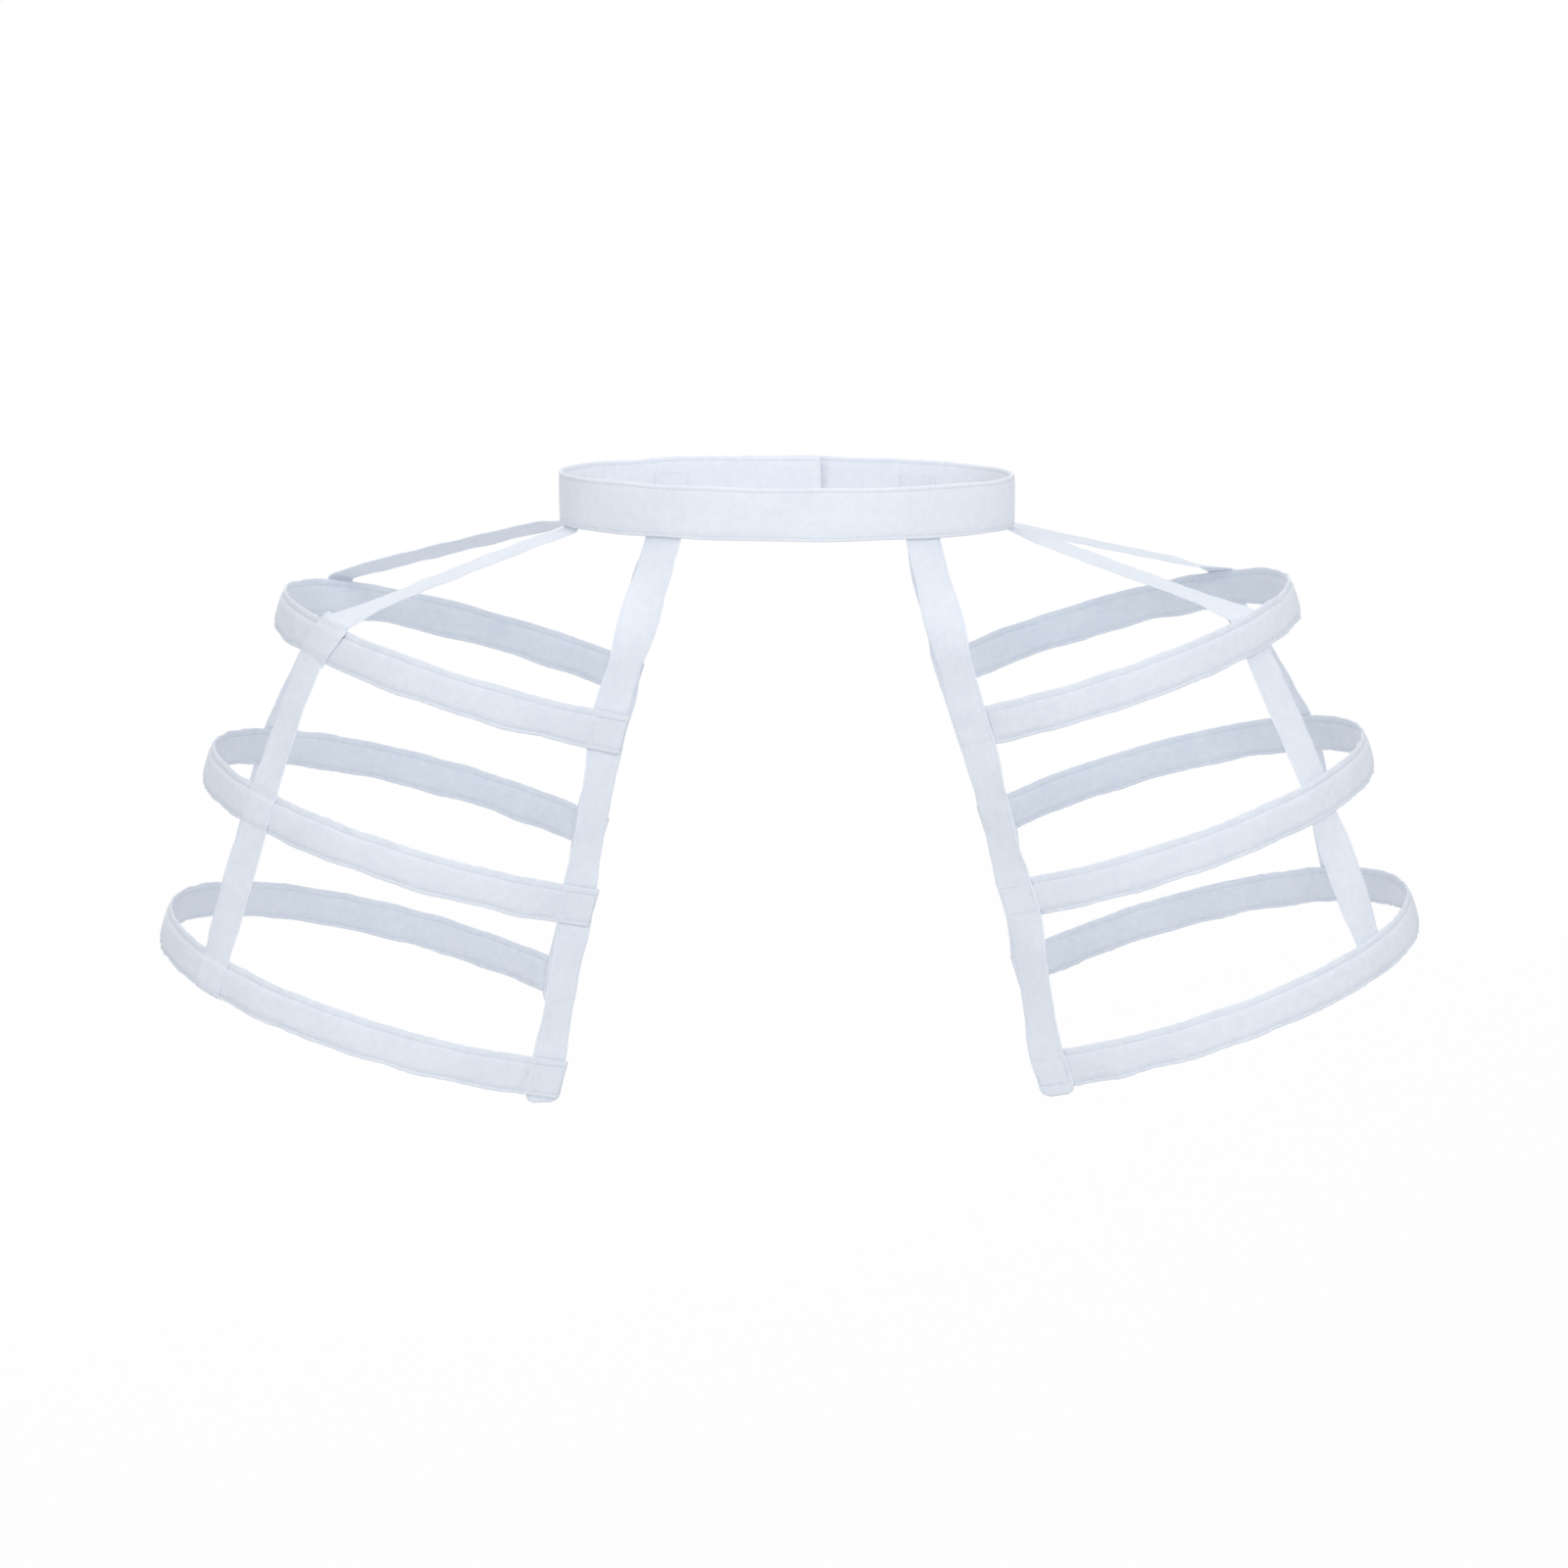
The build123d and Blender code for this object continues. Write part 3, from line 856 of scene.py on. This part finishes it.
def drapedOn(points, layer):
    # how far to move the middle of a tape so that it lies on each casing, over the bone and on both flanges
    moved = np.zeros_like(points)
    top, bottom = sideTape["flangeHeights"]
    boneTop, boneBottom = sideTape["boneHeights"]
    flange, bone = sideTape["onFlange"], sideTape["onBone"]
    for level in levels:
        circle = circles[level]
        spoke = points - circle["centre"]
        height = spoke @ circle["upward"]
        spoke = spoke - height[..., None] * circle["upward"]
        away = np.linalg.norm(spoke, axis=-1)
        outset = away - circle["radius"]
        overBone = eased(top, boneTop, height) * eased(bottom, boneBottom, height)
        wanted = layer * (flange + (bone - flange) * overBone)
        near = eased(*sideTape["drapeTop"], height) * eased(*sideTape["drapeBottom"], height)
        near = near * eased(*sideTape["drapeReach"], np.abs(outset))
        moved += (near * (wanted - outset) / away)[..., None] * spoke
    return moved


def sideTapeRows(angles, slants, layer):
    # a row of stitches across the tape on each flange that it crosses, seen on both faces
    rows = []
    reach = tape["halfWidth"] - tape["rowInset"]
    outer, inner = sideTape["rowOutsets"][layer]
    for level, angle, slant in zip(levels, angles, slants):
        circle = circles[level]
        turned = angle + np.linspace(-reach, reach, tape["rowPoints"]) / circle["radius"]
        for height in sideTape["flangeHeights"]:
            for outset, facing in ((outer, 1), (-inner, -1)):
                line = hoopPoint(circle, turned, outset, -slant * height, height)
                rows.append(facedRow(circle, angle, line, facing))
    return rows


strap = {
    "seedShift": {"front": 0, "back": 10},
    # where each leaves the band, in degrees from the hip
    "facing": {"front": {"left": 62.2, "right": 63.5}, "back": {"left": 60.3, "right": 65.3}},
    "roll": math.radians(12.0),
    # outset where it lies on a tab or on the bone's end, and the shifts from its mark between which it climbs
    "onTab": 1.3 * mm,
    "onBone": 2.6 * mm,
    "climb": (-2.0 * mm, -7.0 * mm),
    # how far it lies flat above and below a hoop's middle, and its tail below the lowest
    "reach": 13.0 * mm,
    "tail": 16.0 * mm,
    # half height of the sewn square, and points along its upright sides
    "squareHalf": 8.5 * mm,
    "squarePoints": 12,
}


def strapOutset(shift):
    # a strap that is sewn short of its mark lies on the bone's end and not only on the tab
    return strap["onTab"] + (strap["onBone"] - strap["onTab"]) * eased(*strap["climb"], shift)


def strapPlace(circle, end, outset, shift, slant, height, aside=0.0):
    # a point on a strap where it is sewn to a hoop's end, aside from its middle line
    along = end * (hoop["strapMiddle"] + shift - slant * height) + aside
    return hoopPoint(circle, end * circle["halfArc"], outset, along, height)


def strapStations(facing, end, layer, shifts, slant):
    stations = waistStations(facing)
    roll = -end * strap["roll"]
    for level, shift in zip(levels, shifts):
        circle = circles[level]
        across = hoopTangent(circle, end * circle["halfArc"])
        outset = layer * strapOutset(shift)
        low = strap["tail"] if level == "lower" else strap["reach"]
        sewn = [strapPlace(circle, end, outset, shift, slant, height) for height in (strap["reach"], -low)]
        rolledRun(stations, sewn[0], across, (0.0 if level == "upper" else roll, roll))
        stations += [(point, across, 0.0) for point in sewn]
    return stations


def strapRows(end, layer, shifts, slant):
    # a sewn square at each hoop end, seen on the layer that lies outside and on the one inside
    rows = []
    reach, half = tape["halfWidth"] - tape["rowInset"], strap["squareHalf"]
    sideways = np.linspace(-reach, reach, tape["rowPoints"])
    upright = np.linspace(-half, half, strap["squarePoints"])
    for level, shift in zip(levels, shifts):
        circle = circles[level]
        angle = end * circle["halfArc"]
        strapFace = strapOutset(shift) + tape["half"]
        outer, inner = (strapFace, casing["flange"]) if layer > 0 else (casing["flange"], strapFace)
        for outset, facing in ((outer, 1), (-inner, -1)):
            for edge in (-1, 1):
                across = strapPlace(circle, end, outset, shift, slant, edge * half, sideways)
                border = strapPlace(circle, end, outset, shift, slant, upright, edge * reach)
                rows += [facedRow(circle, angle, line, facing) for line in (across, border)]
    return rows


def tapeRings(stations, seed, rounded, layer):
    points, acrosses, bends = [np.array(part) for part in zip(*stations)]
    evened = evenly(points, tape["step"], acrosses, bends[:, None])
    line, across, bend = [softened(values, reach) for values, reach in zip(evened, tape["softening"])]
    along = runLength(line)
    run = unit(np.gradient(line, axis=0))
    across = unit(across)
    across = unit(across - run * (across * run).sum(1, keepdims=True))
    outward = np.cross(run, across)
    place = tape["halfWidth"] * np.sin(np.linspace(-math.pi / 2, math.pi / 2, tape["points"]))
    share = place / tape["halfWidth"]
    half = np.interp(np.abs(share), *zip(*tape["outline"]))
    left = along[-1] - along
    width = np.ones_like(along)
    if rounded:
        corner = tape["cornerRadius"]
        gone = np.clip(corner - left, 0, corner)
        width = 1 - (corner - np.sqrt(corner ** 2 - gone ** 2)) / tape["halfWidth"]
    held = np.clip(bend / bend.max(), 0, 1)  # 1 where the tape is held to a curve, 0 where it hangs
    free = (eased(*tape["freeFrom"], along) * eased(0, tape["freeTo"], left))[:, None] * (1 - held)
    sway = ripple(along, seed, *tape["sway"])[:, None] * free
    flutter = ripple(along, seed + 1, *tape["flutter"])[:, None] * np.clip(share, 0, 1)[None] ** 2
    other = ripple(along, seed + 2, *tape["flutter"])[:, None] * np.clip(-share, 0, 1)[None] ** 2
    cup = ripple(along, seed + 3, *tape["cup"])[:, None] * (1 - share ** 2)[None]
    gather = ripple(place, seed + 4, *tape["gather"])[None] * held
    shift = (flutter + other + cup) * free - bend * place[None] ** 2 / 2
    sideways = place[None] * width[:, None] + sway * tape["swayShare"]
    middle = line[:, None] + outward[:, None] * shift[..., None] + across[:, None] * sideways[..., None]
    if layer:
        middle = middle + drapedOn(middle, layer)
    pressed = layer * sideTape["press"] * held * share[None] ** 4

    def face(outset):
        return middle + outward[:, None] * (outset - pressed)[..., None]

    rings = np.concatenate([face(half[None] + gather), face(-half[None])[:, ::-1]], 1)
    border, spread, tone = tape["selvedge"]
    seam = tone * np.exp(-((np.abs(share) - border) / spread) ** 2)
    weave = np.stack(np.broadcast_arrays(place[None], along[:, None], seam[None]), -1)
    weave = np.concatenate([weave, weave[:, ::-1]], 1)
    return rings, weave, along[-1]


def makeTape(name, side, stations, seed, rows, rounded=False, layer=0, reach=band["settleReach"]):
    # a layer is given where the tape is laid over the casings
    mirrored = side == "right"
    full = f"{name}_{side}"
    rings, weave, length = tapeRings(stations, seed, rounded, layer)
    rings = settled(rings, mirrored, reach)
    piece = clothPiece(f"{full}_cloth", rings, weave, tapeCotton, mirrored)
    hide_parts(full)
    thread = stitchPiece(f"{full}_stitches", rows, mirrored)


def makeStrap(name, side):
    end = hoopEnds[name]
    seed = tape["seed"][side] + strap["seedShift"][name]
    facing = end * math.radians(strap["facing"][name][side])
    layer, shifts = hoop["strapLayer"][name][side], hoop["strapShift"][name][side]
    slant = hoop["strapSlant"][side]
    stations = strapStations(facing, end, layer, shifts, slant)
    makeTape(f"{name}_strap", side, stations, seed, strapRows(end, layer, shifts, slant), rounded=True)


def makeSideTape(name, side):
    turn = hoopEnds[name]
    seed = tape["seed"][side] + sideTape["seedShift"][name]
    facing = turn * math.radians(sideTape["facing"][name][side])
    angles = [turn * math.radians(angle) for angle in hoop["crossing"][name][side]]
    slants, layer = hoop["crossingSlant"][name][side], hoop["crossingLayer"][name][side]
    lean = math.radians(sideTape["lean"][name][side])
    rolls = [math.radians(roll) for roll in sideTape["roll"][name][side]]
    stations = sideTapeStations(facing, angles, slants, lean, rolls, layer)
    rows, reach = sideTapeRows(angles, slants, layer), sideTape["settleReach"][side]
    makeTape(f"side_{name}_tape", side, stations, seed, rows, layer=layer, reach=reach)


for side in ("left", "right"):
    for end in hoopEnds:
        makeStrap(end, side)
    for end in hoopEnds:
        makeSideTape(end, side)
print("tapes and straps made")


# Bones, caps, hooks and bars keep their shape from the frame

for name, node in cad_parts.items():
    if "tips" in name:
        finish = capPlastic
    elif "bone" in name:
        finish = coatedSteel
    elif name in ("waist_hooks", "waist_bars"):
        finish = platedHook
    else:
        continue
    node.data.materials.clear()
    node.data.materials.append(finish)
print("frame pieces finished")


# Floor, light and camera

studio = {
    "floorDrop": 1.02,
    "floorSize": 30.0,
    "floorColour": (0.86, 0.87, 0.88, 1),
    # share of plain white that is seen in the floor, near the object and far from it, and those distances
    "floorWhite": (0.94, 1.0),
    "floorFade": (0.9, 5.0),
    # strength of the plain light from all around
    "ambient": 0.56,
    # place, size and power of each lamp
    "key": ((1.3, -2.6, 1.7), 2.2, 40.0),
    "fill": ((-2.2, -2.0, 0.9), 2.4, 16.0),
    "top": ((0.0, 0.4, 2.6), 2.6, 16.0),
    "rear": ((-0.9, 2.9, 1.0), 2.4, 22.0),
    "aim": (0.0, 0.0, -0.18),
}


def whiteToTheEye(tree):
    # plain white for the camera and in reflections, plain light for everything else
    path = addNode(tree, "ShaderNodeLightPath").outputs
    seen = sums(tree, "MAXIMUM", path["Is Camera Ray"], path["Is Glossy Ray"])
    return sums(tree, "MAXIMUM", seen, path["Is Transmission Ray"])


def makeFloor():
    size = studio["floorSize"] / 2
    mesh = bpy.data.meshes.new("floor")
    corners = [(-size, -size, 0), (size, -size, 0), (size, size, 0), (-size, size, 0)]
    mesh.from_pydata(corners, [], [(0, 1, 2, 3)])
    floor = bpy.data.objects.new("floor", mesh)
    floor.location.z = -studio["floorDrop"]
    bpy.context.scene.collection.objects.link(floor)
    material = bpy.data.materials.new("paleFloor")
    material.use_nodes = True
    tree = material.node_tree
    tree.nodes.clear()
    plain = addNode(tree, "ShaderNodeBsdfDiffuse", Color=studio["floorColour"])
    white = addNode(tree, "ShaderNodeEmission", Color=(1, 1, 1, 1), Strength=1.0)
    place = addNode(tree, "ShaderNodeTexCoord").outputs["Object"]
    away = addNode(tree, "ShaderNodeVectorMath", {"operation": "LENGTH"}, i0=place).outputs["Value"]
    fade = ranged(tree, away, studio["floorFade"], studio["floorWhite"])
    share = sums(tree, "MULTIPLY", whiteToTheEye(tree), fade)
    mixed = addNode(tree, "ShaderNodeMixShader", i0=share, i1=plain.outputs[0], i2=white.outputs[0])
    addNode(tree, "ShaderNodeOutputMaterial", Surface=mixed.outputs[0])
    mesh.materials.append(material)


def makeWorld():
    world = bpy.data.worlds.new("studio")
    world.use_nodes = True
    tree = world.node_tree
    tree.nodes.clear()
    level = ranged(tree, whiteToTheEye(tree), (0.0, 1.0), (studio["ambient"], 1.0))
    light = addNode(tree, "ShaderNodeBackground", Color=(1, 1, 1, 1), Strength=level)
    addNode(tree, "ShaderNodeOutputWorld", Surface=light.outputs[0])
    bpy.context.scene.world = world


def makeLamp(name):
    place, size, power = studio[name]
    lamp = bpy.data.lights.new(name, "AREA")
    lamp.shape = "DISK"
    lamp.size = size
    lamp.energy = power
    holder = bpy.data.objects.new(name, lamp)
    holder.location = place
    aim = Vector(studio["aim"]) - Vector(place)
    holder.rotation_euler = aim.to_track_quat("-Z", "Y").to_euler()
    bpy.context.scene.collection.objects.link(holder)


camera = {
    "elevation": math.radians(10.47),
    "yaw": math.radians(-1.24),
    "roll": math.radians(-0.50),
    "distance": 2.5,
    "target": (-0.0035, 0.0, -0.1812),
    "focalPixels": 4053.6,
    "framePixels": 1600,
    "sensor": 36.0,
    "clipEnd": 60.0,
}


def makeCamera():
    lift, yaw, roll = camera["elevation"], camera["yaw"], camera["roll"]
    back = Vector((math.sin(yaw) * math.cos(lift), -math.cos(yaw) * math.cos(lift), math.sin(lift)))
    right = Vector((math.cos(yaw), math.sin(yaw), 0))
    up = back.cross(right)
    rolledRight = right * math.cos(roll) + up * math.sin(roll)
    rolledUp = up * math.cos(roll) - right * math.sin(roll)
    lens = bpy.data.cameras.new("camera")
    lens.sensor_width = camera["sensor"]
    lens.lens = camera["focalPixels"] * camera["sensor"] / camera["framePixels"]
    lens.clip_end = camera["clipEnd"]
    holder = bpy.data.objects.new("camera", lens)
    turned = Matrix((rolledRight, rolledUp, back)).transposed().to_4x4()
    holder.matrix_world = Matrix.Translation(Vector(camera["target"]) + back * camera["distance"]) @ turned
    bpy.context.scene.collection.objects.link(holder)
    bpy.context.scene.camera = holder


makeFloor()
makeWorld()
for lampName in ("key", "fill", "top", "rear"):
    makeLamp(lampName)
makeCamera()
bpy.context.scene.view_settings.view_transform = "Standard"
print("stage, light and camera set")

bpy.context.view_layer.update()
